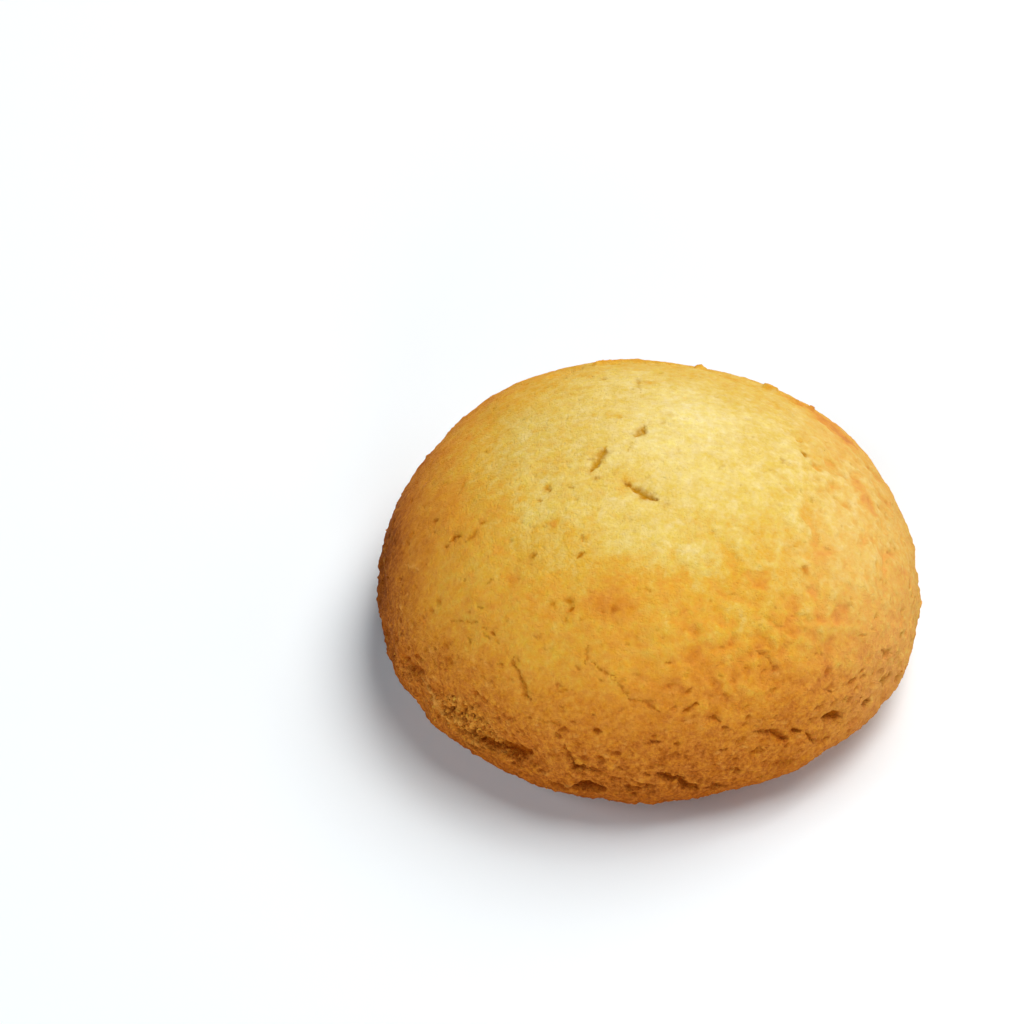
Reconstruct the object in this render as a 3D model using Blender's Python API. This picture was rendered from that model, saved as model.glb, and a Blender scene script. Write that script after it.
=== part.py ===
"""A whole round biscuit of short dough, baked as a low dome round a filling that can't be seen.

It is one solid. It stands on a flat underside, is widest a little above it, and its edge is tucked in
below. The top split open in the oven, and the rim broke into hollows where the dough spread.

Lengths are in metres, +Z is up, and the origin is the middle of the underside. Bearings are in degrees
round +Z from +X, so the front of the biscuit is at -90.
"""

import math
import random

import bmesh
import bpy
from mathutils import Vector, geometry, noise

MM = 0.001

# The smooth form of the biscuit
DIAMETER = 45.0 * MM
HEIGHT = 21.0 * MM
WIDEST_AT = 4.9 * MM  # height of the widest ring above the underside
HEEL_DEPTH = 6.8 * MM  # how deep the rounding below the widest ring would go if nothing cut it flat
DOME_FULLNESS = 2.03  # exponent of the section above the widest ring, where 2 is an ellipse
HEEL_FULLNESS = 2.4  # exponent of the section below it, which is boxier
LEAN_TO_FRONT = 1.6 * MM  # how far the highest point lies in front of the middle
CORE = Vector((0, 0, WIDEST_AT))  # every point of the crust is placed along a ray from here

# The outline seen from above: how often each wave goes round, its share of the radius, its bearing
OUTLINE_WAVES = ((2, 0.0033, -59), (3, 0.0066, 2), (4, 0.0015, -43), (5, 0.0071, -24), (6, 0.0019, -26))

# Unevenness of the whole crust: wavelength and height of each layer
SWELLS = ((14.0 * MM, 0.25 * MM), (5.5 * MM, 0.12 * MM))
# Lumps of the rim, which fade out upwards
LUMP_SIZE = 3.2 * MM
LUMP_HEIGHT = 0.30 * MM
LUMPS_FADE_FROM = 6.0 * MM
LUMPS_FADE_TO = 13.0 * MM

# How far the splits and hollows below stray from a straight line, and over what length they wander
WANDER = 0.9 * MM
WANDER_LENGTH = 1.9 * MM

# Splits in the top: start and end as (x, y) seen from above, width and depth
TOP_SPLITS = (
    ((-0.6 * MM, 3.2 * MM), (-1.1 * MM, 2.1 * MM), 0.9 * MM, 0.45 * MM),
    ((-3.5 * MM, 0.7 * MM), (-4.9 * MM, -2.1 * MM), 1.1 * MM, 0.50 * MM),
    ((-1.9 * MM, -3.4 * MM), (0.7 * MM, -5.5 * MM), 1.1 * MM, 0.55 * MM),
)
# Hollows in the front of the rim: bearing and height of both ends, width and depth
FRONT_HOLLOWS = (
    ((-127.0, 5.7 * MM), (-114.0, 6.8 * MM), 1.6 * MM, 0.85 * MM),
    ((-105.0, 7.4 * MM), (-100.5, 6.9 * MM), 1.0 * MM, 0.60 * MM),
    ((-109.0, 4.4 * MM), (-106.0, 4.4 * MM), 1.3 * MM, 0.80 * MM),
    ((-103.5, 5.0 * MM), (-98.0, 5.3 * MM), 1.4 * MM, 0.80 * MM),
    ((-93.0, 5.2 * MM), (-90.0, 5.2 * MM), 1.1 * MM, 0.60 * MM),
    ((-86.5, 7.1 * MM), (-82.0, 6.3 * MM), 1.1 * MM, 0.60 * MM),
    ((-81.0, 5.4 * MM), (-78.5, 4.6 * MM), 1.1 * MM, 0.60 * MM),
    ((-76.0, 4.7 * MM), (-72.5, 4.5 * MM), 1.1 * MM, 0.55 * MM),
    ((-64.5, 9.4 * MM), (-58.5, 7.8 * MM), 1.0 * MM, 0.50 * MM),
    ((-57.5, 8.5 * MM), (-52.5, 6.8 * MM), 1.0 * MM, 0.50 * MM),
    ((-48.5, 7.9 * MM), (-46.5, 7.8 * MM), 1.2 * MM, 0.55 * MM),
)
# Hollows of the same kind round the rest of the rim, which a seeded draw places
OTHER_HOLLOWS = 15
OTHER_BEARINGS = (15.0, 205.0)
OTHER_HEIGHTS = (3.2 * MM, 8.5 * MM)
OTHER_LENGTHS = (3.0, 10.0)  # degrees of bearing
OTHER_WIDTHS = (0.9 * MM, 1.6 * MM)
OTHER_DEPTHS = (0.35 * MM, 0.8 * MM)

# The patch low on the front left where the crust crumbled
CRUMBLED_BEARING = -129.0
CRUMBLED_HEIGHT = 7.4 * MM
CRUMBLED_RADIUS = 3.4 * MM
CRUMBLED_DEPTH = 0.30 * MM
CRUMB_SIZE = 1.1 * MM
CRUMB_HEIGHT = 0.35 * MM

GRID_CUTS = 71  # cuts along each edge of the cube that the crust is blown up from
SOLID_TRIANGLES = 9400  # what the solid keeps, most of them where the crust is broken
SEED = 5


def crust_material():
    """Baked short dough: matt, golden brown."""
    material = bpy.data.materials.new("baked_short_dough")
    material.use_nodes = True
    shader = material.node_tree.nodes["Principled BSDF"]
    shader.inputs["Base Color"].default_value = (0.68, 0.36, 0.09, 1.0)
    shader.inputs["Roughness"].default_value = 0.75
    shader.inputs["Metallic"].default_value = 0.0
    return material


def outline(bearing):
    """The biscuit's radius at this bearing, in radians, as a share of the mean radius."""
    waves = (size * math.cos(times * (bearing - math.radians(at))) for times, size, at in OUTLINE_WAVES)
    return 1.0 + sum(waves)


def smooth_crust(direction):
    """The point of the smooth form that lies in this direction from the core."""
    radius = DIAMETER / 2 * outline(math.atan2(direction.y, direction.x))
    across = math.hypot(direction.x, direction.y) / radius
    above = direction.z >= 0
    up = direction.z / (HEIGHT - WIDEST_AT) if above else -direction.z / HEEL_DEPTH
    fullness = DOME_FULLNESS if above else HEEL_FULLNESS
    point = CORE + direction * (across**fullness + up**fullness) ** (-1 / fullness)
    point.y -= LEAN_TO_FRONT * max(point.z / HEIGHT, 0.0) ** 2
    return point


def point_at_height(bearing, height):
    """The point of the smooth form at this bearing, in degrees, and about this height."""
    turn = math.radians(bearing)
    low, high = -math.pi / 2, math.pi / 2
    for _ in range(30):
        tilt = (low + high) / 2
        level = math.cos(tilt)
        point = smooth_crust(Vector((level * math.cos(turn), level * math.sin(turn), math.sin(tilt))))
        low, high = (tilt, high) if point.z < height else (low, tilt)
    return point


def point_under(x, y):
    """The point of the smooth form straight below (x, y), on the dome."""
    bearing = math.degrees(math.atan2(y, x))
    low, high = WIDEST_AT, HEIGHT
    for _ in range(30):
        height = (low + high) / 2
        point = point_at_height(bearing, height)
        further_out = math.hypot(point.x, point.y) > math.hypot(x, y)
        low, high = (height, high) if further_out else (low, height)
    return point


def hollows():
    """Every split and hollow as (start point, end point, width, depth)."""
    found = [(point_under(*start), point_under(*end), width, depth) for start, end, width, depth in TOP_SPLITS]
    rim = list(FRONT_HOLLOWS)
    draw = random.Random(SEED)
    for number in range(OTHER_HOLLOWS):
        first, last = OTHER_BEARINGS
        bearing = first + (last - first) * (number + draw.uniform(0.1, 0.9)) / OTHER_HOLLOWS
        height = draw.uniform(*OTHER_HEIGHTS)
        end = (bearing + draw.uniform(*OTHER_LENGTHS), height + draw.uniform(-1.2, 1.2) * MM)
        rim.append(((bearing, height), end, draw.uniform(*OTHER_WIDTHS), draw.uniform(*OTHER_DEPTHS)))
    found += [(point_at_height(*start), point_at_height(*end), width, depth) for start, end, width, depth in rim]
    return found


def fade(value, full, none):
    """1 up to full, 0 from none on, and a smooth step between them."""
    share = min(max((value - full) / (none - full), 0.0), 1.0)
    return 1.0 - share * share * (3.0 - 2.0 * share)


def depth_of_hollow(point, hollow):
    """How deep this split or hollow is at a point of the crust."""
    start, end, width, depth = hollow
    _, share = geometry.intersect_point_line(point, start, end)
    nearest = start.lerp(end, min(max(share, 0.0), 1.0))
    return depth * fade((point - nearest).length, 0.15 * width, 0.8 * width)


def relief(point, broken, crumbled):
    """How far the real crust stands out from the smooth form at this point."""
    height = sum(size * noise.noise(point / length) for length, size in SWELLS)
    rim = fade(point.z, LUMPS_FADE_FROM, LUMPS_FADE_TO)
    height += rim * LUMP_HEIGHT * noise.noise(point / LUMP_SIZE)
    patch = fade((point - crumbled).length, 0.4 * CRUMBLED_RADIUS, CRUMBLED_RADIUS)
    height += patch * (CRUMB_HEIGHT * noise.noise(point / CRUMB_SIZE) - CRUMBLED_DEPTH)
    strayed = point + WANDER * noise.noise_vector(point / WANDER_LENGTH)
    return height - max(depth_of_hollow(strayed, hollow) for hollow in broken)


def blown_cube():
    """A cube whose faces are a fine grid, blown up to a ball."""
    mesh = bmesh.new()
    bmesh.ops.create_cube(mesh, size=2.0)
    bmesh.ops.subdivide_edges(mesh, edges=mesh.edges, cuts=GRID_CUTS, use_grid_fill=True)
    for vert in mesh.verts:
        vert.co = Vector(math.tan(math.pi / 4 * side) for side in vert.co).normalized()
    return mesh


def cut_flat(mesh):
    """Cuts the form off at the underside and closes it there."""
    everything = mesh.verts[:] + mesh.edges[:] + mesh.faces[:]
    bmesh.ops.bisect_plane(mesh, geom=everything, plane_co=(0, 0, 0), plane_no=(0, 0, -1), clear_outer=True)
    rim = [edge for edge in mesh.edges if edge.is_boundary]
    bmesh.ops.contextual_create(mesh, geom=rim)
    bmesh.ops.triangulate(mesh, faces=mesh.faces[:])


def middle(mesh):
    """The middle of the mesh's bounds, seen from above."""
    xs = [vert.co.x for vert in mesh.verts]
    ys = [vert.co.y for vert in mesh.verts]
    return Vector(((min(xs) + max(xs)) / 2, (min(ys) + max(ys)) / 2, 0.0))


def biscuit(material):
    """The whole biscuit as one solid."""
    broken = hollows()
    crumbled = point_at_height(CRUMBLED_BEARING, CRUMBLED_HEIGHT)
    mesh = blown_cube()
    for vert in mesh.verts:
        vert.co = smooth_crust(vert.co)
    mesh.normal_update()
    moves = [vert.normal * relief(vert.co, broken, crumbled) for vert in mesh.verts]
    for vert, move in zip(mesh.verts, moves, strict=True):
        vert.co += move
    cut_flat(mesh)
    bmesh.ops.translate(mesh, verts=mesh.verts[:], vec=-middle(mesh))
    bmesh.ops.recalc_face_normals(mesh, faces=mesh.faces[:])
    data = bpy.data.meshes.new("biscuit")
    mesh.to_mesh(data)
    data.materials.append(material)
    data.shade_smooth()
    solid = bpy.data.objects.new("biscuit", data)
    bpy.context.scene.collection.objects.link(solid)
    thinned = solid.modifiers.new("fewer_triangles", "DECIMATE")
    thinned.ratio = SOLID_TRIANGLES / len(data.polygons)
    mesh.free()
    return solid


for old in list(bpy.data.objects):
    bpy.data.objects.remove(old)
noise.seed_set(SEED)  # else noise_vector would differ from session to session
biscuit(crust_material())
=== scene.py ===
"""A whole round biscuit of short dough, baked as a low dome round a filling that doesn't show.

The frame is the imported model's: +Z up, origin in the middle of the underside, front at -Y. Sizes and places
are in millimetres unless a name ends in _M, and bearings are in degrees round +Z from +X, so the front is
at -90.
"""

import math
import random

import bmesh
import bpy
import numpy as np
from mathutils import Euler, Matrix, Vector, noise
from mathutils.bvhtree import BVHTree
from mathutils.kdtree import KDTree


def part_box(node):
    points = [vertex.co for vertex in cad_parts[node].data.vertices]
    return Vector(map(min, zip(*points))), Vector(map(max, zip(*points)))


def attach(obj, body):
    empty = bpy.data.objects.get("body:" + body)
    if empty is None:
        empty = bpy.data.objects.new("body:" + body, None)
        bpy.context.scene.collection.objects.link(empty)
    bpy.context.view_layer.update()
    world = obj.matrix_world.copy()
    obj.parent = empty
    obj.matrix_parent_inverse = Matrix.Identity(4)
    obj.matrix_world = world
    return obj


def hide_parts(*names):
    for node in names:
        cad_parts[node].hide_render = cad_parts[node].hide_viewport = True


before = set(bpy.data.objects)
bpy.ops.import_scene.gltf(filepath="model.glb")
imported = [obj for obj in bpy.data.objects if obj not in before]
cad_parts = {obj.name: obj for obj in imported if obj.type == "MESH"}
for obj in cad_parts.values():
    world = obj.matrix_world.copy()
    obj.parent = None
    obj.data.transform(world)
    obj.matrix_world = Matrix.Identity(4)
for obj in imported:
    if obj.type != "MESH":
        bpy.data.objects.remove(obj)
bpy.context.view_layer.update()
MM = 0.001

# ======================================================================================================
# The crust
# Flour, butter, sugar and egg, closed round a filling by hand and set on a tray. The top bakes last and
# stays straw-coloured, the flanks turn golden, and the rim browns, splits and sheds crumbs as it spreads.
# ======================================================================================================

SKIN_CUTS = 63  # cuts along each edge of the cube that is laid on the solid
SKIN_ROUNDS = 8  # rounds of smoothing, which take the solid's flat facets away
SKIN_HALVINGS = 2  # how often each face is then split in four along the curve
CRUST_TRIANGLES = 198_000  # what the crust keeps, most of them where it is broken

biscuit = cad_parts["biscuit"]
low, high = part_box("biscuit")
surface = BVHTree.FromObject(biscuit, bpy.context.evaluated_depsgraph_get())


def put_in_scene(name, mesh):
    """Turns a bmesh into an object with this name."""
    data = bpy.data.meshes.new(name)
    mesh.to_mesh(data)
    mesh.free()
    piece = bpy.data.objects.new(name, data)
    bpy.context.scene.collection.objects.link(piece)
    return piece


def apply_modifiers(piece):
    """Gives the piece the mesh that its modifiers make of it."""
    shown = piece.evaluated_get(bpy.context.evaluated_depsgraph_get())
    piece.data = bpy.data.meshes.new_from_object(shown)
    piece.modifiers.clear()


def laid_on_solid():
    """A mesh with even faces, laid on the solid and smoothed."""
    centre, half = (low + high) / 2, (high - low) / 2
    mesh = bmesh.new()
    bmesh.ops.create_cube(mesh, size=2.0)
    bmesh.ops.subdivide_edges(mesh, edges=mesh.edges, cuts=SKIN_CUTS, use_grid_fill=True)
    for vert in mesh.verts:
        on_ball = Vector(math.tan(math.pi / 4 * side) for side in vert.co).normalized()
        vert.co = surface.ray_cast(centre, on_ball * half)[0]
    for _ in range(SKIN_ROUNDS):
        bmesh.ops.smooth_vert(
            mesh, verts=mesh.verts, factor=0.5, use_axis_x=True, use_axis_y=True, use_axis_z=True
        )
    bmesh.ops.recalc_face_normals(mesh, faces=mesh.faces[:])
    return mesh


crust = put_in_scene("crust", laid_on_solid())
finer = crust.modifiers.new("finer", "SUBSURF")
finer.levels = finer.render_levels = SKIN_HALVINGS
apply_modifiers(crust)

# The skin's points in millimetres, which way each faces, and a search tree over them
spots = np.empty(3 * len(crust.data.vertices))
crust.data.vertices.foreach_get("co", spots)
spots = spots.reshape(-1, 3) / MM
outward = np.empty(spots.size)
crust.data.vertices.foreach_get("normal", outward)
outward = outward.reshape(-1, 3)
places = [Vector(spot) for spot in spots]
skin = KDTree(len(places))
for number, place in enumerate(places):
    skin.insert(place, number)
skin.balance()
height = spots[:, 2]
bearing = np.degrees(np.arctan2(spots[:, 1], spots[:, 0]))


def fade(value, full, none):
    """1 up to full, 0 from none on, and a smooth step between them. Either may be the larger."""
    share = np.clip((value - full) / (none - full), 0.0, 1.0)
    return 1.0 - share * share * (3.0 - 2.0 * share)


NOISE_SEED = 3
noise.seed_set(NOISE_SEED)  # if left alone it comes from the clock, and noise_vector differs every time


def lumps(size, draw=0):
    """Smooth noise, about -0.7 to 0.7, with lumps of this size, at every point of the skin."""
    shift = Vector((7.3, 1.9, 4.1)) * draw
    return np.array([noise.noise(place / size + shift) for place in places])


CLUMP_REACH = 0.7  # how far a clump reaches from its middle, where 1 is about how far apart they are


def clumps(size, where, torn=0.3):
    """Uneven clumps about this far apart, from 0 in the gaps to 1, at the skin's points in where.

    The more they are torn, the more ragged is their outline.
    """
    grown = np.zeros(len(places))
    for number in where:
        spot = places[number] / size
        spot += torn * noise.noise_vector(2.3 * spot)
        distances, cells = noise.voronoi(spot)
        swell = 0.75 + 0.6 * noise.noise(5.3 * cells[0])  # each clump has a height of its own
        grown[number] = swell * math.sqrt(max(0.0, 1.0 - (distances[0] / CLUMP_REACH) ** 2))
    return grown


def above(x, y):
    """The point of the skin that is straight above (x, y)."""
    hit = surface.ray_cast(Vector((x * MM, y * MM, 2 * high.z)), Vector((0, 0, -1)))[0]
    return skin.find(hit / MM)[0]


def beside(bearing, height):
    """The point of the skin at this bearing and height."""
    turn = math.radians(bearing)
    hit = surface.ray_cast(Vector((0, 0, height * MM)), Vector((math.cos(turn), math.sin(turn), 0)))[0]
    return skin.find(hit / MM)[0]


STEP = 0.15  # between the points of a path
BEND_LENGTH = 0.9  # over which a path bends to one side and back
JAG_LENGTH = 0.35  # over which it does so again, half as far


def along(corners, stray):
    """Points close together along the skin, through these corners. They stray as torn dough does."""
    path = []
    for start, end in zip(corners, corners[1:]):
        steps = max(1, round((end - start).length / STEP))
        path += [start.lerp(end, number / steps) for number in range(steps)]
    path.append(corners[-1])
    bends = [
        noise.noise_vector(point / BEND_LENGTH) + 0.5 * noise.noise_vector(point / JAG_LENGTH)
        for point in path
    ]
    return [skin.find(point + stray * bend)[0] for point, bend in zip(path, bends)]


TAPERS_OVER = 0.35  # the share of a mark at each end over which it narrows
UNEVEN = 0.5  # how much its width varies on the way
UNEVEN_LENGTH = 0.8  # over what length
RAGGED = 0.45  # how far its edge is frayed
SOFT_EDGE = (0.05, 1.2)  # where its strength starts to fall and where it ends, in half widths
ragged = lumps(0.35)


def mark(values, path, width, amount, lip=0.0, taper=0.6):
    """Writes a mark of this width along a path into the skin's values, where it is the stronger one.

    With a lip, the mark ends sooner on the side that lies higher. A long path narrows at both ends, by the
    share in taper.
    """
    for number, centre in enumerate(path):
        from_end = min(number, len(path) - 1 - number) / max(len(path) - 1, 1)
        reach = width / 2 * (1 - taper * fade(from_end, 0.0, TAPERS_OVER) * (len(path) > 3))
        reach *= 1 + UNEVEN * noise.noise(centre / UNEVEN_LENGTH)
        frayed_reach = 1.5 * reach + 0.05
        near = [number for _, number, _ in skin.find_range(centre, frayed_reach)]
        if not near:
            continue
        apart = spots[near] - centre
        distance = np.linalg.norm(apart, axis=1) * (1 + lip * (apart[:, 2] > 0))
        strength = amount * fade(distance / reach + RAGGED * ragged[near], *SOFT_EDGE)
        values[near] = np.maximum(values[near], strength)


sunk = np.zeros(len(spots))  # how deep the crust is broken
raised = np.zeros(len(spots))  # how far flakes and knobs stand out
stain_and_shade = np.zeros(len(spots))  # how dark the crust is made, 0 to 1: by the stain of its breaks and by painted shade in their hollows, between clots and crumbs and at the foot
blushed = np.zeros(len(spots))  # how much more it browned where butter or sugar gathered, 0 to 1
spared = np.zeros(len(spots))  # how much less it browned, 0 to 1
pale_and_highlit = np.zeros(len(spots))  # how pale it is on flakes and lips, and the painted highlight on the tops of crumbs, 0 to 1
crumbled = np.zeros(len(spots))  # how far it crumbled to its yellow inside, 0 to 1

# Splits and pores of the top: the (x, y) they run through, width, depth, darkness. The two wide ones with no
# darkness are dips in the outline, either side of the ridge at the back.
TOP_SPLITS = (
    (((-0.6, 3.3), (-0.9, 2.4), (-1.3, 1.7)), 0.66, 0.40, 0.95),
    (((-1.6, 1.0), (-1.7, 0.8)), 0.28, 0.12, 0.35),
    (((-1.8, 0.4), (-1.9, -0.2)), 0.24, 0.10, 0.35),
    (((-3.7, 0.6), (-4.0, -0.2), (-4.3, -1.2), (-4.9, -2.2)), 0.70, 0.36, 0.80),
    (((-4.5, -1.0), (-5.1, -0.9)), 0.40, 0.14, 0.50),
    (((-4.5, -2.9), (-4.5, -3.1)), 0.36, 0.14, 0.55),
    (((-2.6, -3.3), (-1.9, -3.9)), 0.35, 0.10, 0.15),
    (((-2.0, -3.8), (-1.2, -4.2), (-0.5, -4.6), (0.0, -5.1), (0.6, -5.3)), 0.78, 0.42, 0.85),
    (((1.3, -5.7), (1.5, -5.8)), 0.45, 0.12, 0.35),
    (((-1.4, 11.4), (-1.2, 9.8), (-1.0, 8.4)), 0.35, 0.14, 0.35),
    (((-8.4, -3.5), (-8.1, -3.7)), 0.50, 0.20, 0.60),
    (((-9.0, -4.6), (-8.8, -4.8)), 0.35, 0.14, 0.55),
    (((-6.6, -3.8), (-6.1, -4.0)), 0.34, 0.13, 0.50),
    (((-5.4, -8.5), (-5.3, -9.2)), 0.34, 0.13, 0.45),
    (((-5.7, -10.5), (-5.2, -10.1)), 0.42, 0.18, 0.65),
    (((-4.1, 11.4), (-4.0, 11.3)), 0.50, 0.15, 0.45),
    (((1.4, 15.9), (3.0, 15.8)), 2.2, 0.42, 0.0),
    (((-8.4, 14.2), (-6.2, 15.1)), 2.2, 0.45, 0.0),
    (((10.6, 1.3), (10.7, 0.9)), 0.45, 0.14, 0.35),
    (((12.3, 2.9), (12.4, 2.8)), 0.50, 0.18, 0.65),
    (((12.4, -9.2), (12.6, -9.4)), 0.60, 0.18, 0.45),
    (((-17.6, -2.6), (-17.4, -2.8)), 0.45, 0.14, 0.60),
    (((-13.6, -5.3), (-13.4, -5.3)), 0.40, 0.14, 0.65),
    (((-16.5, -6.0), (-16.3, -6.0)), 0.40, 0.14, 0.60),
    (((-16.2, -5.7), (-15.8, -5.6), (-15.3, -5.7)), 0.45, 0.18, 0.75),
    (((-14.8, -6.5), (-14.4, -6.3), (-14.0, -6.0)), 0.60, 0.14, 0.40),
    (((-9.4, -9.7), (-9.2, -9.6)), 0.50, 0.16, 0.60),
    (((-12.9, -10.8), (-12.7, -10.5)), 0.30, 0.10, 0.45),
    (((-15.1, 0.3), (-15.3, -0.4), (-15.7, -1.1)), 0.28, 0.10, 0.30),
    (((-6.4, -13.7), (-6.1, -13.9)), 0.45, 0.14, 0.80),
    (((-5.9, -14.3), (-6.3, -14.6)), 0.30, 0.12, 0.70),
    (((-6.5, -15.0), (-6.6, -15.3)), 0.28, 0.10, 0.50),
    (((-2.8, -14.9), (-2.6, -14.9)), 0.45, 0.10, 0.50),
    (((-7.7, -13.8), (-7.5, -13.9)), 0.35, 0.12, 0.55),
    (((-0.1, -13.4), (0.1, -13.6)), 0.32, 0.10, 0.50),
)
# Cracks, slits and hollows of the flank and rim: the (bearing, height) they run through, then the same.
# Many overhang, so the last number says how much steeper their upper side is.
FLANK_CRACKS = (
    (((-142.0, 13.0), (-139.7, 13.5)), 0.30, 0.10, 0.40, 0.0),
    (((-138.8, 13.8), (-137.4, 14.1), (-136.3, 14.1)), 0.30, 0.10, 0.45, 0.0),
    (((-122.9, 13.6), (-121.9, 13.1), (-120.1, 12.7)), 0.48, 0.18, 0.60, 0.3),
    (((-120.1, 12.7), (-118.3, 12.3), (-117.3, 11.8), (-115.8, 11.5)), 0.70, 0.24, 0.62, 0.3),
    (((-105.8, 15.8), (-105.3, 15.4), (-105.0, 14.7)), 0.36, 0.11, 0.55, 0.0),
    (((-102.6, 14.8), (-100.4, 14.4), (-98.0, 14.3)), 0.38, 0.12, 0.65, 0.3),
    (((-97.8, 14.2), (-96.0, 13.6), (-93.7, 13.2)), 0.33, 0.11, 0.55, 0.3),
    (((-93.4, 13.1), (-91.2, 12.8), (-88.4, 12.4), (-86.5, 12.2)), 0.46, 0.14, 0.45, 0.5),
    (((-111.5, 13.0), (-110.4, 12.8), (-106.8, 12.9)), 0.32, 0.10, 0.40, 0.3),
    (((-113.0, 10.2), (-108.4, 10.4)), 0.40, 0.12, 0.40, 0.5),
    (((-76.2, 11.2), (-75.0, 11.2), (-73.9, 10.8)), 0.50, 0.20, 0.70, 0.5),
    (((-73.4, 6.1), (-71.8, 6.0), (-69.4, 5.4)), 0.55, 0.25, 0.75, 0.8),
    (((-81.8, 12.0), (-80.0, 12.3), (-77.4, 12.4)), 0.46, 0.20, 0.85, 0.3),
    (((-57.5, 16.4), (-55.1, 16.1), (-53.4, 15.5)), 0.70, 0.12, 0.15, 0.6),
    (((-48.8, 15.6), (-46.4, 15.3), (-43.9, 14.9)), 0.60, 0.10, 0.15, 0.6),
    (((-61.4, 14.8), (-59.4, 14.4), (-58.2, 13.7)), 0.60, 0.16, 0.35, 0.6),
    (((-34.4, 12.0), (-33.1, 11.9), (-31.8, 11.7)), 0.40, 0.14, 0.35, 0.5),
    (((-29.6, 9.3), (-27.9, 8.8), (-26.1, 8.2)), 0.60, 0.22, 0.50, 0.5),
    (((-30.0, 6.6), (-28.0, 6.2), (-26.2, 5.8)), 0.90, 0.35, 0.65, 0.8),
    (((-71.4, 7.0), (-70.0, 7.1)), 0.45, 0.25, 0.70, 0.8),
    (((-67.0, 7.2), (-65.5, 7.3)), 0.40, 0.20, 0.60, 0.8),
    (((-71.6, 5.5), (-69.8, 5.6)), 0.55, 0.30, 0.80, 0.8),
    (((-62.9, 5.4), (-60.5, 5.2), (-57.3, 4.9)), 1.30, 0.30, 0.50, 0.6),
)
RIM_HOLLOWS = (
    (((-127.5, 5.1), (-124.5, 5.4), (-122.5, 5.7)), 0.90, 0.45, 0.85, 0.8),
    (((-122.5, 5.7), (-119.2, 5.9), (-114.2, 6.3)), 1.10, 0.50, 0.90, 0.8),
    (((-118.5, 4.7), (-116.5, 4.8)), 0.60, 0.30, 0.70, 0.6),
    (((-106.9, 8.7), (-105.7, 7.8), (-104.7, 7.1)), 0.40, 0.24, 0.75, 0.6),
    (((-104.8, 7.0), (-102.9, 6.7), (-101.7, 6.6)), 0.85, 0.45, 1.00, 0.8),
    (((-101.7, 6.7), (-100.3, 6.5)), 0.50, 0.25, 0.85, 0.6),
    (((-109.6, 4.1), (-108.0, 3.9), (-106.5, 3.9)), 0.80, 0.50, 1.00, 0.6),
    (((-104.4, 4.5), (-101.5, 4.7), (-98.3, 4.6)), 1.00, 0.55, 1.00, 0.8),
    (((-93.6, 4.9), (-92.0, 4.9), (-90.3, 4.9)), 0.65, 0.40, 0.90, 0.8),
    (((-90.0, 5.5), (-87.5, 5.2)), 0.90, 0.35, 0.75, 0.8),
    (((-87.2, 6.9), (-85.3, 6.4), (-83.9, 6.0), (-82.5, 5.7)), 0.60, 0.40, 0.80, 0.8),
    (((-82.7, 5.8), (-81.4, 5.0), (-79.0, 4.5), (-78.4, 4.3)), 0.75, 0.45, 1.00, 0.8),
    (((-76.8, 4.2), (-74.5, 4.1), (-72.2, 4.0)), 0.70, 0.40, 0.90, 0.8),
    (((-66.2, 8.9), (-64.0, 8.7), (-61.7, 8.4)), 0.40, 0.22, 0.55, 0.8),
    (((-62.2, 8.4), (-60.4, 7.9), (-59.0, 7.5)), 0.75, 0.35, 0.80, 0.8),
    (((-57.5, 7.7), (-55.5, 7.4)), 0.50, 0.30, 0.90, 0.8),
    (((-54.3, 7.1), (-53.3, 6.7), (-52.7, 6.0)), 0.55, 0.32, 0.90, 0.8),
    (((-48.3, 7.5), (-46.6, 7.2), (-45.2, 6.6)), 1.15, 0.50, 1.00, 0.9),
    (((-37.2, 6.3), (-36.0, 5.9)), 0.80, 0.40, 0.85, 0.8),
    (((-152.0, 7.0), (-149.0, 7.2), (-145.5, 7.8)), 1.40, 0.35, 0.60, 0.6),
)
# Single pits of the flank: bearing, height, width, depth, darkness
FLANK_PITS = (
    (-100.3, 10.4, 0.85, 0.35, 0.90),
    (-95.5, 8.7, 0.70, 0.25, 0.70),
    (-83.8, 8.5, 0.80, 0.25, 0.65),
    (-99.1, 7.9, 0.80, 0.30, 0.80),
    (-72.7, 10.2, 0.65, 0.25, 0.60),
    (-130.5, 14.2, 0.45, 0.16, 0.75),
    (-140.8, 11.5, 0.60, 0.16, 0.60),
    (-137.8, 10.8, 0.90, 0.12, 0.55),
    (-95.5, 16.1, 0.45, 0.16, 0.60),
    (-88.1, 10.3, 0.60, 0.20, 0.65),
    (-80.0, 13.5, 0.45, 0.16, 0.60),
    (-45.8, 11.3, 0.80, 0.16, 0.55),
    (-40.7, 9.3, 0.70, 0.22, 0.65),
    (-39.5, 8.4, 0.60, 0.20, 0.55),
    (-29.0, 8.8, 0.70, 0.20, 0.60),
    (-66.5, 7.3, 0.60, 0.22, 0.70),
    (-80.2, 13.4, 0.45, 0.18, 0.65),
    (-84.7, 15.2, 0.45, 0.18, 0.65),
    (-67.0, 10.4, 0.60, 0.25, 0.75),
    (-39.5, 9.2, 0.75, 0.28, 0.65),
    (-46.3, 10.1, 0.80, 0.16, 0.45),
    (-60.1, 11.9, 0.50, 0.20, 0.60),
    (-30.0, 6.7, 0.80, 0.28, 0.70),
    (-24.8, 5.1, 0.80, 0.28, 0.65),
    (-37.3, 6.4, 0.70, 0.26, 0.70),
    (-155.8, 7.7, 0.70, 0.10, 0.60),
    (-153.5, 7.4, 0.60, 0.10, 0.60),
    (-148.8, 13.2, 0.60, 0.10, 0.45),
)
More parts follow.
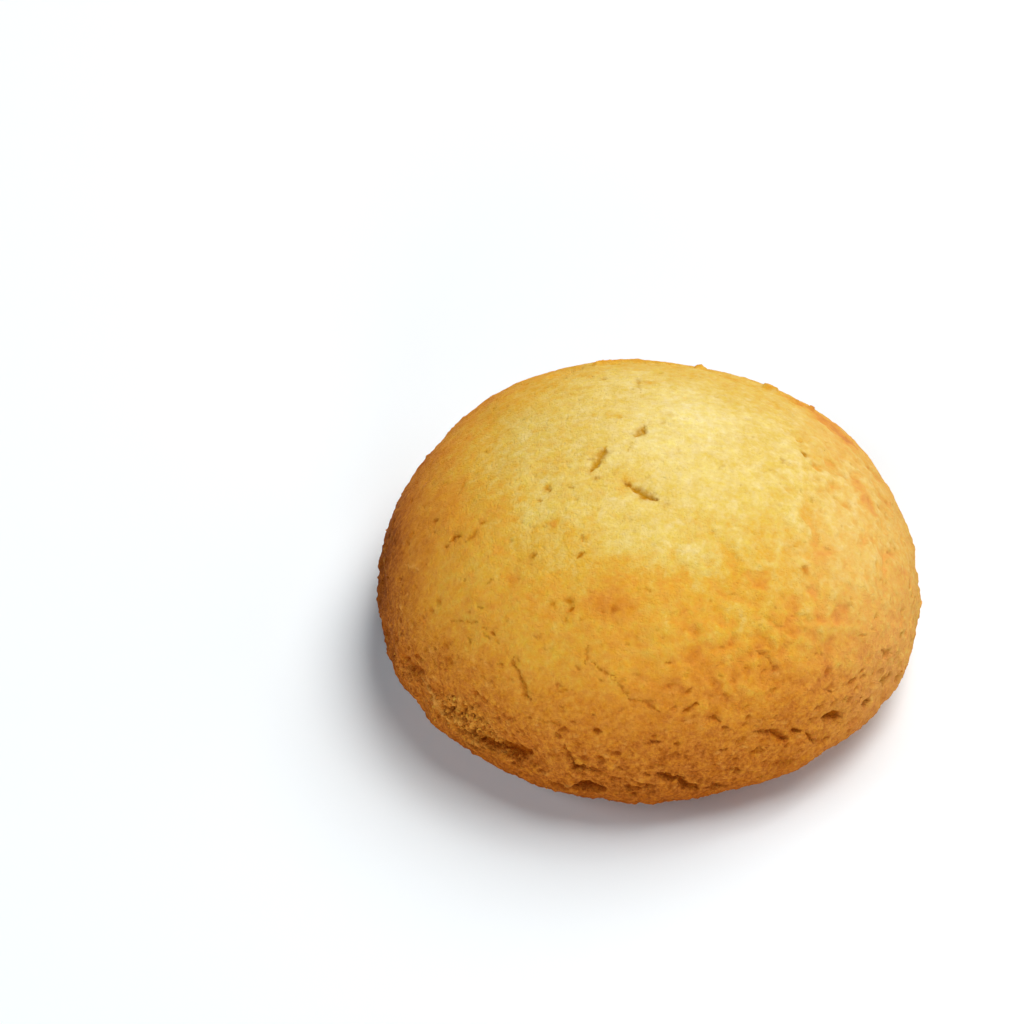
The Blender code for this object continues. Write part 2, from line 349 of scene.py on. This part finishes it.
# Where butter or sugar gathered and browned early: the (x, y) they run through, width, strength
BLUSHES = (
    (((10.8, 12.9), (12.8, 12.2)), 2.0, 0.9),
    (((13.2, 11.7), (15.0, 10.7), (16.6, 9.2)), 3.0, 1.3),
    (((16.7, 3.0), (17.4, 1.0), (18.4, 0.0)), 1.6, 1.3),
    (((14.7, 0.4), (16.0, 1.0)), 1.0, 0.6),
    (((13.4, -8.1), (14.4, -7.4)), 1.4, 0.5),
    (((12.4, -9.3), (12.7, -9.2)), 0.8, 0.6),
    (((15.5, -7.2), (15.8, -7.1)), 0.6, 0.8),
    (((20.2, -3.6), (20.9, -3.1)), 0.8, 0.8),
    (((14.0, -15.2), (14.6, -15.3)), 1.8, 0.5),
    (((16.0, 7.4), (16.3, 7.0)), 0.9, 0.6),
    (((13.7, -1.4), (14.1, -1.6)), 0.8, 0.7),
    (((5.5, 14.1), (7.2, 13.8)), 0.9, 0.6),
    (((-1.2, 10.4), (0.6, 10.2)), 1.1, 0.7),
    (((-4.9, 4.9), (-1.8, 4.6)), 0.7, 0.6),
    (((-7.2, -0.4), (-6.8, -0.6)), 1.8, 0.5),
    (((-5.7, -0.2), (-4.8, -0.7)), 0.6, 0.6),
    (((-8.7, -3.4), (-8.2, -3.7)), 1.1, 0.8),
    (((-10.9, -4.1), (-9.9, -4.3)), 0.5, 0.6),
    (((-11.0, -5.9), (-10.8, -5.9)), 0.6, 0.8),
    (((-7.8, -7.3), (-7.4, -7.5)), 0.9, 1.0),
    (((-6.8, -8.1), (-6.5, -8.3)), 0.7, 0.7),
    (((-11.1, -11.0), (-10.7, -11.2)), 1.0, 0.5),
    (((-5.0, -14.1), (-3.4, -14.4), (-1.4, -14.9)), 2.8, 0.7),
    (((-7.0, -3.0), (-4.0, -3.6), (-1.0, -3.0)), 5.0, 0.3),
    (((-12.0, -1.5), (-8.5, 0.5), (-4.0, 3.5)), 5.0, 0.33),
)
# Where the dome is highest and the heat came last, so that it stayed paler still: the same
SPARED = (
    (((1.5, 7.5), (3.5, 5.0), (5.5, 3.5)), 6.0, 0.4),
    (((-1.0, -11.5), (1.0, -11.5)), 3.0, 0.3),
    (((14.5, -3.5), (17.0, 1.0), (16.0, 5.0)), 3.5, 0.3),
)
# Knobs and a ridge of dough round the back: the (x, y) they run through, width, how far they stand out
KNOBS = (
    (((3.7, 16.0), (4.0, 16.0)), 0.9, 0.40),
    (((9.2, 13.8), (10.2, 13.3)), 1.2, 0.42),
    (((11.5, 12.1), (12.0, 11.9)), 0.8, 0.30),
    (((13.0, 12.1), (13.3, 12.0)), 0.8, 0.30),
    (((-5.0, 15.1), (-4.2, 15.6)), 1.0, 0.30),
    (((-4.8, 15.2), (-3.6, 15.9), (-2.0, 16.2), (-0.6, 15.8), (0.8, 15.3)), 1.6, 0.24),
)
# Flakes and lips that stay pale: the (bearing, height) they run through, width, strength
PALE_FLAKES = (
    (((-166.6, 12.0), (-163.5, 12.6), (-160.8, 13.1)), 0.45, 0.7),
    (((-58.8, 12.9), (-58.0, 12.7)), 0.55, 0.7),
    (((-144.6, 7.2), (-140.4, 6.7), (-137.3, 6.0), (-134.2, 5.6)), 0.50, 0.7),
)
# The patch low on the front left where the crust crumbled to its yellow inside
CRUMBLED_ALONG = ((-134.6, 6.6), (-130.5, 6.8), (-125.0, 6.3))
CRUMBLED_WIDTH = 4.6

# For each kind of break: how its corners are found, how far its path strays, what shares of the listed width
# and depth the crust is sunk, and what shares of the listed width and darkness it is darkened, by its stain
# and by painted shade in the hollow
BREAKS = (
    (TOP_SPLITS, above, 0.12, 1.0, 0.65, 1.4, 1.45),
    (FLANK_CRACKS, beside, 0.32, 1.1, 1.1, 1.15, 1.0),
    (RIM_HOLLOWS, beside, 0.30, 1.25, 1.5, 1.3, 1.0),
)
for breaks, find, stray, sunk_width, sunk_depth, stain_and_shade_width, stain_and_shade_dark in BREAKS:
    for corners, width, depth, dark, *lip in breaks:
        path = along([find(*corner) for corner in corners], stray)
        mark(sunk, path, sunk_width * width, sunk_depth * depth, *lip)
        mark(stain_and_shade, path, stain_and_shade_width * width, min(1.0, stain_and_shade_dark * dark), *lip)

PIT_REACH = 0.4  # degrees of bearing that a pit runs to either side
PIT_STRAY = 0.15
PIT_LIP = 0.5
PIT_STAIN_AND_SHADE = 1.05  # how much wider a pit's stain and painted shade reach than its dent
for at, level, width, depth, dark in FLANK_PITS:
    path = along([beside(at - PIT_REACH, level), beside(at + PIT_REACH, level)], PIT_STRAY)
    mark(sunk, path, width, depth, PIT_LIP)
    mark(stain_and_shade, path, PIT_STAIN_AND_SHADE * width, dark, PIT_LIP)

# Colour spreads further than listed, by these factors
for values, soft_marks, spread in ((blushed, BLUSHES, 1.3), (spared, SPARED, 1.2)):
    for corners, width, strength in soft_marks:
        mark(values, along([above(*corner) for corner in corners], 0.3), spread * width, strength)

KNOB_BLUSHED = 0.5  # what stands up catches the heat
FLAKE_STANDS = 0.08  # how far a pale flake stands out
for corners, width, stands in KNOBS:
    path = along([above(*corner) for corner in corners], 0.1)
    mark(raised, path, width, stands)
    mark(blushed, path, width, KNOB_BLUSHED)
for corners, width, strength in PALE_FLAKES:
    path = along([beside(*corner) for corner in corners], 0.2)
    mark(raised, path, width, FLAKE_STANDS)
    mark(pale_and_highlit, path, width, strength)
mark(crumbled, along([beside(*corner) for corner in CRUMBLED_ALONG], 0.5), CRUMBLED_WIDTH, 1.0, taper=0.3)

# Pores and pits that a seeded draw scatters: how many, the bearings and heights they keep to, the longest
# that they run along the rim, their widths, depths and darknesses, and how much steeper their upper side is
ALL_ROUND = (-180, 180)
SCATTERED = (
    (420, ALL_ROUND, (9.0, 21.0), 0.2, (0.20, 0.40), (0.05, 0.12), (0.10, 0.40), 0.0),
    (300, ALL_ROUND, (5.0, 15.0), 0.5, (0.25, 0.50), (0.08, 0.18), (0.15, 0.45), 0.4),
    (230, ALL_ROUND, (2.2, 10.0), 0.8, (0.30, 0.70), (0.12, 0.30), (0.35, 0.75), 0.8),
    (22, (20, 180), (3.5, 8.5), 2.0, (0.60, 1.20), (0.30, 0.50), (0.50, 0.90), 0.8),
    (120, ALL_ROUND, (0.0, 0.3), 0.6, (0.30, 0.80), (0.10, 0.30), (0.20, 0.60), 0.0),
)
DRAW_SEED = 11
draw = random.Random(DRAW_SEED)
STEEPEST = 0.9  # how much a leg of a scattered path may climb or fall along its length


def run_along_rim(start, length):
    """A short path from this point along the rim, with a bend halfway."""
    sideways = Vector((-start.y, start.x, 0.0))
    sideways = sideways.normalized() if sideways.length > 1.0 else Vector((1, 0, 0))
    corners = [start]
    for _ in range(2):
        upward = Vector((0, 0, draw.uniform(-STEEPEST, STEEPEST)))
        corners.append(corners[-1] + length / 2 * (sideways + upward))
    return along(corners, PIT_STRAY)


def drawn_from(bearings, heights, count):
    """This many points of the skin, drawn from between these bearings and heights."""
    allowed = (bearing >= bearings[0]) & (bearing <= bearings[1])
    numbers = np.flatnonzero(allowed & (height >= heights[0]) & (height <= heights[1]))
    return [numbers[draw.randrange(len(numbers))] for _ in range(count)]


for count, bearings, heights, longest, widths, depths, darks, lip in SCATTERED:
    for number in drawn_from(bearings, heights, count):
        path = run_along_rim(places[number], draw.uniform(0.0, longest))
        width, depth, dark = draw.uniform(*widths), draw.uniform(*depths), draw.uniform(*darks)
        mark(sunk, path, width, depth, lip)
        mark(stain_and_shade, path, PIT_STAIN_AND_SHADE * width, dark, lip)

# Flakes of crust that stand a little proud and caught no colour: how many, heights, widths, how proud
FLAKES = ((260, (3.0, 11.0), (0.20, 0.45), (0.05, 0.12)), (90, (9.0, 20.0), (0.20, 0.40), (0.02, 0.05)))
FLAKE_LENGTHS = (0.0, 0.5)
FLAKE_PALENESS = (0.2, 0.6)
for count, heights, widths, stands in FLAKES:
    for number in drawn_from(ALL_ROUND, heights, count):
        path = run_along_rim(places[number], draw.uniform(*FLAKE_LENGTHS))
        width = draw.uniform(*widths)
        mark(raised, path, width, draw.uniform(*stands))
        mark(pale_and_highlit, path, width, draw.uniform(*FLAKE_PALENESS))


def off_bearing(middle):
    """How many degrees each point of the skin lies to either side of this bearing."""
    return np.abs((bearing - middle + 180) % 360 - 180)


# How the whole crust rises and falls: gently on the dome, more where it dimples on the right, and most
# on the rim. A painted sheen lies on the right as a faint pale haze.
rim = fade(height, 5.0, 12.0)
from_axis = np.hypot(spots[:, 0], spots[:, 1])
dimpled = fade(off_bearing(-25), 35, 85) * fade(from_axis, 14, 7)
dimpled *= fade(height, 12.5, 8.5)
painted_sheen = fade(off_bearing(0), 20, 60) * fade(from_axis, 17, 10)


def tall(on_dome, on_rim, in_dimples):
    """The height of a layer of unevenness: on the dome, how much more on the rim, and in the dimples."""
    return on_dome + on_rim * rim + in_dimples * dimpled


swells, dips = lumps(1.9, 1), fade(lumps(1.5, 2), -0.42, -0.12)
fine, finest = lumps(0.8, 3), lumps(0.42, 4)
relief = 0.12 * lumps(4.2) + tall(0.07, 0.10, 0.14) * swells
relief -= tall(0.0, 0.12, 0.15) * dips
relief += tall(0.05, 0.06, 0.12) * fine + tall(0.03, 0.05, 0.04) * finest

# The dough of the rim has clotted. Painted shade darkens it between the clots and towards its foot.
CLOT_HEIGHT = 0.16
CLOT_SHADE = 0.4
FOOT_SHADE = 0.45
on_rim = np.flatnonzero(rim > 0.02)
clotted = 0.6 * clumps(0.8, on_rim) + 0.4 * clumps(0.42, on_rim)
relief += CLOT_HEIGHT * rim * (clotted - 0.5)
stain_and_shade = np.maximum(stain_and_shade, CLOT_SHADE * rim * fade(clotted, 0.12, 0.34))
stain_and_shade = np.maximum(stain_and_shade, FOOT_SHADE * fade(height, 2.5, 6.0))

# In the crumbled patch, coarse and fine crumbs stand up out of gaps. Their tops get a painted highlight, and
# the gaps painted shade that is darker and browner.
CRUMB_HEIGHT = 1.20
CRUMB_SUNK = 0.55  # how far the whole patch is sunk
CRUMB_TORN = 0.45
GAP_SHADE = 0.32
where = np.flatnonzero(crumbled > 0.01)
crumbs = 0.5 * clumps(0.95, where, CRUMB_TORN) + 0.5 * clumps(0.48, where, CRUMB_TORN)
relief += crumbled * (CRUMB_HEIGHT * crumbs - CRUMB_SUNK)
gaps = crumbled * fade(crumbs, 0.20, 0.50)
stain_and_shade = np.maximum(stain_and_shade, GAP_SHADE * gaps)
pale_and_highlit = np.maximum(pale_and_highlit, crumbled * fade(crumbs, 0.85, 0.55))
crumbled *= 1.0 - 0.8 * gaps

# Where the skin lies on the tray, nothing stands out
relief += raised - sunk
on_tray = fade(height, 0.02, 0.4)
relief = np.where(on_tray > 0.5, np.minimum(relief, 0.0), relief)

moved = spots + outward * relief[:, None]
moved[:, 2] = np.maximum(moved[:, 2], 0.0)
crust.data.vertices.foreach_set("co", (moved * MM).ravel())

# How far each point is baked, from 0 for the palest top to 1 for dark brown: by how far it is from the
# middle of the pale top, where 1 is that top's edge, then more lower down, and less on the right. The
# brown of the rim reaches higher at some bearings, by this many millimetres. Both its edge and the top's
# wander.
TOP_MIDDLE = (1.5, 1.7)
TOP_RADII = (14.0, 12.2)
BAKED_FROM_TOP = ((0.2, 0.0), (0.5, 0.07), (0.8, 0.13), (1.0, 0.22), (1.15, 0.34), (1.3, 0.44), (1.5, 0.46))
BAKED_LOW_DOWN = ((3.0, 0.50), (7.0, 0.42), (9.0, 0.38), (10.2, 0.32), (11.8, 0.23), (13.2, 0.13), (15.5, 0))
# At the far left, round bearing ±180, the higher values are partly browner baking and partly painted shade
# along that edge
BAKED_ROUND = ((-180, 1.3), (-168, 1.22), (-158, 1.08), (-150, 0.98), (-130, 1.0), (-100, 1.0), (-85, 0.98))
BAKED_ROUND += ((-60, 0.88), (-40, 0.74), (-20, 0.58), (0, 0.43), (25, 0.5), (60, 0.65), (100, 0.75))
BAKED_ROUND += ((140, 0.95), (180, 1.3))
BROWNS_HIGHER = ((-180, 0), (-150, -0.6), (-110, -0.5), (-92, 0.9), (-60, 1.1), (-35, 0.7), (-10, 0))
BROWNS_HIGHER += ((180, 0),)
BLUSH_BAKED = 0.30  # how much further a full blush is baked, and how much less a spared place
GAP_SHADE_BROWN = 0.45  # how much browner the gaps between the crumbs are made, which is painted shade
PALEST, DARKEST = 0.14, 0.88  # where 0 and 1 lie on the colour scale, which leaves room for the mottling


def read_off(curve, values):
    """The values that a curve given by its corners has at these places."""
    return np.interp(values, [corner[0] for corner in curve], [corner[1] for corner in curve])


across, deep = (spots[:, axis] - TOP_MIDDLE[axis] for axis in (0, 1))
from_top = np.hypot(across / TOP_RADII[0], deep / TOP_RADII[1]) + 0.14 * lumps(5.0, 7) + 0.07 * lumps(2.0, 8)
up_rim = height - read_off(BROWNS_HIGHER, bearing) + 1.2 * lumps(3.0, 9)
baked = read_off(BAKED_FROM_TOP, from_top) + read_off(BAKED_LOW_DOWN, up_rim)
baked *= read_off(BAKED_ROUND, bearing) * fade(from_top, 1.3, 0.9) + fade(from_top, 0.9, 1.3)
browned_dimples = dimpled * (0.16 * dips - 0.09 * swells - 0.13 * fine)  # more in the dips, less between
baked += BLUSH_BAKED * (blushed - spared) + browned_dimples + GAP_SHADE_BROWN * gaps
baked = PALEST + (DARKEST - PALEST) * baked

sandy = fade(height, 7.0, 16.0)  # how sandy the surface is, which is most on the rim
stored = {"baked": baked, "sandy": sandy, "stain_and_shade": stain_and_shade}
stored |= {"pale_and_highlit": pale_and_highlit, "crumbled": crumbled, "painted_sheen": painted_sheen}
for name, values in stored.items():
    crust.data.attributes.new(name, "FLOAT", "POINT").data.foreach_set("value", values)

thinned = crust.modifiers.new("thinned", "DECIMATE")
thinned.ratio = CRUST_TRIANGLES / (2 * len(crust.data.polygons))
thinned.use_collapse_triangulate = True
apply_modifiers(crust)
for vert in crust.data.vertices:
    vert.co.z = max(vert.co.z, 0.0)
crust.data.shade_smooth()


def colour(code):
    """The linear colour, with alpha, of an sRGB hex code."""
    parts = [int(code[start : start + 2], 16) / 255 for start in (0, 2, 4)]
    return (*(part / 12.92 if part <= 0.04045 else ((part + 0.055) / 1.055) ** 2.4 for part in parts), 1.0)


def per(size):
    """The Scale of a texture on Object coordinates whose lumps are this many millimetres across."""
    return 1 / (size * MM)


def add_node(tree, kind, settings, inputs):
    """Adds a node, with its settings, its fixed inputs, and a link for each input given as a socket."""
    added = tree.nodes.new("ShaderNode" + kind)
    for name, value in settings.items():
        setattr(added, name, value)
    for name, value in inputs.items():
        if isinstance(value, bpy.types.NodeSocket):
            tree.links.new(value, added.inputs[name])
        else:
            added.inputs[name].default_value = value
    return added


# Baked short dough: matt and finely sandy, with a blotchy colour that follows the heat
crust_look = bpy.data.materials.new("baked_short_dough")
crust_look.use_nodes = True
tree = crust_look.node_tree
shader = tree.nodes["Principled BSDF"]
place_now = add_node(tree, "TexCoord", {}, {}).outputs["Object"]
kept = {}
for name in stored:
    kept[name] = add_node(tree, "Attribute", {"attribute_name": name}, {}).outputs["Fac"]

# Blotches of 4 mm, mottling of 1.3 and 0.6 mm, and sand grains of 0.28 mm, which each swing the baking up
# and down: by how much on the top, and how much more on the rim
MOTTLES = ((4.0, 0.19, -0.07), (1.3, 0.27, -0.09), (0.6, 0.27, 0.11), (0.28, 0.16, 0.40))
level = kept["baked"]
for size, on_top, more in MOTTLES:
    grain = add_node(tree, "TexNoise", {}, {"Vector": place_now, "Scale": per(size), "Roughness": 0.6})
    centred = add_node(tree, "Math", {"operation": "SUBTRACT"}, {0: grain.outputs["Fac"], 1: 0.5})
    swing = add_node(tree, "Math", {"operation": "MULTIPLY_ADD"}, {0: kept["sandy"], 1: more, 2: on_top})
    swung = {0: centred.outputs[0], 1: swing.outputs[0], 2: level}
    level = add_node(tree, "Math", {"operation": "MULTIPLY_ADD"}, swung).outputs[0]

BAKING = (
    (0.00, "f2dfa6"),
    (0.14, "e9ce8a"),
    (0.25, "e2c06c"),
    (0.40, "dfaa46"),
    (0.51, "df9c3c"),
    (0.62, "d98c34"),
    (0.73, "cd7c2d"),
    (0.81, "c16e28"),
    (0.88, "ae5e1e"),
    (1.00, "924a12"),
)
ramp = add_node(tree, "ValToRGB", {}, {"Fac": level})
stops = ramp.color_ramp.elements
for position, code in BAKING[1:-1]:
    stops.new(position)
for stop, (position, code) in zip(stops, BAKING):
    stop.position = position
    stop.color = colour(code)

# What else tints it: butter-yellow mottling of 0.7 mm, spread out from the middle of its noise, then a
# painted sheen on the right, pale flakes and painted highlights on crumb tops, the yellow inside, and the
# stains of breaks with painted shade in hollows, between clots and crumbs and at the foot
YELLOW_CONTRAST, YELLOW_OFFSET = 2.4, -0.7
yellow = add_node(tree, "TexNoise", {}, {"Vector": place_now, "Scale": per(0.7), "Roughness": 0.7})
yellow = {0: yellow.outputs["Fac"], 1: YELLOW_CONTRAST, 2: YELLOW_OFFSET}
yellow = add_node(tree, "Math", {"operation": "MULTIPLY_ADD", "use_clamp": True}, yellow)
TINTS = (
    ("MULTIPLY", yellow.outputs[0], 1.0, "fffbc4"),
    ("MIX", kept["painted_sheen"], 0.18, "f2bc8c"),
    ("MIX", kept["pale_and_highlit"], 0.7, "f4b456"),
    ("MIX", kept["crumbled"], 0.50, "f0a03a"),
    ("MULTIPLY", kept["stain_and_shade"], 1.0, "d0aa38"),
)
tint = ramp.outputs["Color"]
for kind, share, most, code in TINTS:
    share = add_node(tree, "Math", {"operation": "MULTIPLY"}, {0: share, 1: most}).outputs[0]
    settings = {"data_type": "RGBA", "blend_type": kind}
    tint = add_node(tree, "Mix", settings, {0: share, 6: tint, 7: colour(code)}).outputs[2]
tree.links.new(tint, shader.inputs["Base Color"])
shader.inputs["Roughness"].default_value = 0.75
shader.inputs["Specular IOR Level"].default_value = 0.03

# Sand grains of 0.3 and 0.16 mm, which stand out further on the rim. Real ones are finer still, but would
# not show from this far away.
GRAIN_HEIGHT, GRAIN_MORE_ON_RIM = 0.11, 0.07
grains = [
    add_node(tree, "TexNoise", {}, {"Vector": place_now, "Scale": per(size), "Roughness": 0.6}).outputs["Fac"]
    for size in (0.30, 0.16)
]
bumped = add_node(tree, "Math", {"operation": "ADD"}, {0: grains[0], 1: grains[1]}).outputs[0]
grittiness = {0: kept["sandy"], 1: GRAIN_MORE_ON_RIM * MM, 2: GRAIN_HEIGHT * MM}
grittiness = add_node(tree, "Math", {"operation": "MULTIPLY_ADD"}, grittiness).outputs[0]
grainy = add_node(tree, "Bump", {}, {"Height": bumped, "Distance": grittiness, "Strength": 1.0})
tree.links.new(grainy.outputs["Normal"], shader.inputs["Normal"])
crust.data.materials.clear()
crust.data.materials.append(crust_look)

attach(crust, "root")
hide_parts("biscuit")

# ======================================================================================================
# The stuck crumbs
# Bits of the same dough that broke off the rim and stuck to it again while it was hot. They are joined
# into one piece, each about half sunk into the crust.
# ======================================================================================================

# How many, the bearings and heights they keep to, and their radii
CRUMBS = (
    (55, (-139, -120), (4.5, 8.3), (0.10, 0.22)),
    (60, ALL_ROUND, (2.0, 6.5), (0.08, 0.16)),
)
CRUMB_JAGGED = 0.7  # how far a crumb is from round
CRUMB_FLATNESS = ((0.5, 0.9), (0.4, 0.8))  # its width and thickness, as shares of its length
CRUMB_BAKED = (0.5, 0.8)
crumb_mesh = bmesh.new()
crumb_baked = []
for count, bearings, heights, radii in CRUMBS:
    for number in drawn_from(bearings, heights, count):
        radius = draw.uniform(*radii)
        made = bmesh.ops.create_icosphere(crumb_mesh, subdivisions=2, radius=1.0)["verts"]
        turn = Euler([draw.uniform(0, 2 * math.pi) for _ in range(3)]).to_matrix()
        shape = Vector((1.0, *(draw.uniform(*shares) for shares in CRUMB_FLATNESS)))
        centre = Vector(moved[number])
        for vert in made:
            jagged = 1 + CRUMB_JAGGED * noise.noise(1.4 * vert.co + centre)
            vert.co = (turn @ (jagged * radius * vert.co * shape) + centre) * MM
        crumb_baked += [draw.uniform(*CRUMB_BAKED)] * len(made)
crumbs_stuck = put_in_scene("stuck_crumbs", crumb_mesh)
for name, values in {"baked": crumb_baked, "sandy": [1.0] * len(crumb_baked)}.items():
    crumbs_stuck.data.attributes.new(name, "FLOAT", "POINT").data.foreach_set("value", values)
crumbs_stuck.data.shade_smooth()
crumbs_stuck.data.materials.append(crust_look)

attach(crumbs_stuck, "root")

# ======================================================================================================
# The studio
# A sheet of cool white paper, a large soft light from the back right and one overhead, weaker bluish ones
# that lift the right, the front and the left, a pale wall far behind, and a long lens.
# ======================================================================================================

FLOOR_SIZE_M = 0.9

paper_mesh = bmesh.new()
bmesh.ops.create_grid(paper_mesh, x_segments=1, y_segments=1, size=FLOOR_SIZE_M / 2)
paper = put_in_scene("paper", paper_mesh)
paper_look = bpy.data.materials.new("white_paper")
paper_look.use_nodes = True
paper_shader = paper_look.node_tree.nodes["Principled BSDF"]
paper_shader.inputs["Base Color"].default_value = colour("f1f3f3")
paper_shader.inputs["Roughness"].default_value = 0.9
paper_shader.inputs["Specular IOR Level"].default_value = 0.0
paper.data.materials.append(paper_look)

MIDDLE_M = Vector((0, 0, 0.010))
# Each light's name, bearing, elevation, size across, what it adds to a white level sheet, and colour
LIGHTS = (
    ("key", 62.0, 50.0, 0.42, 0.45, "ffffff"),
    ("overhead", 15.0, 70.0, 0.40, 0.57, "ffffff"),
    ("right_fill", 0.0, 32.0, 0.35, 0.085, "ebf6ff"),
    ("front_fill", -82.0, 13.0, 0.24, 0.118, "e7f4ff"),
    ("left_fill", -165.0, 27.0, 0.35, 0.146, "eef8ff"),
)
LIGHT_DISTANCE_M = 0.6


def towards(bearing, elevation):
    """The unit vector at this bearing and elevation, both in degrees."""
    turn, tilt = math.radians(bearing), math.radians(elevation)
    return Vector((math.cos(tilt) * math.cos(turn), math.cos(tilt) * math.sin(turn), math.sin(tilt)))


for name, at, elevation, size, share, code in LIGHTS:
    lamp = bpy.data.lights.new(name, "AREA")
    lamp.shape = "DISK"
    lamp.size = size
    lamp.color = colour(code)[:3]
    # a disc of radiance L and area A adds L * A * sin / (pi * d^2) to a level sheet; its power is pi * L * A
    lamp.energy = share * (math.pi * LIGHT_DISTANCE_M) ** 2 / math.sin(math.radians(elevation))
    light = bpy.data.objects.new(name, lamp)
    light.location = MIDDLE_M + towards(at, elevation) * LIGHT_DISTANCE_M
    light.rotation_euler = towards(at, elevation).to_track_quat("Z", "Y").to_euler()
    bpy.context.scene.collection.objects.link(light)

# A pale wall far behind, which shows past the paper's edge but adds no light of its own
room = bpy.data.worlds.new("pale_wall")
room.use_nodes = True
room.node_tree.nodes["Background"].inputs["Color"].default_value = colour("eef0f1")
room.cycles_visibility.diffuse = False
room.cycles_visibility.glossy = False
bpy.context.scene.world = room

LENS_MM = 201.1
CAMERA_DISTANCE_M = 0.47
CAMERA_HEIGHT = 45.0  # degrees above the paper
AIM_M = Vector((-0.01136, 0.00179, 0.01179))  # left of the biscuit, which so stands right of the middle
camera_data = bpy.data.cameras.new("camera")
camera_data.lens = LENS_MM
camera_data.sensor_width = 36.0
camera = bpy.data.objects.new("camera", camera_data)
camera.location = MIDDLE_M + towards(-90, CAMERA_HEIGHT) * CAMERA_DISTANCE_M
camera.rotation_euler = (camera.location - AIM_M).to_track_quat("Z", "Y").to_euler()
bpy.context.scene.collection.objects.link(camera)
bpy.context.scene.camera = camera
bpy.context.scene.view_settings.view_transform = "Standard"
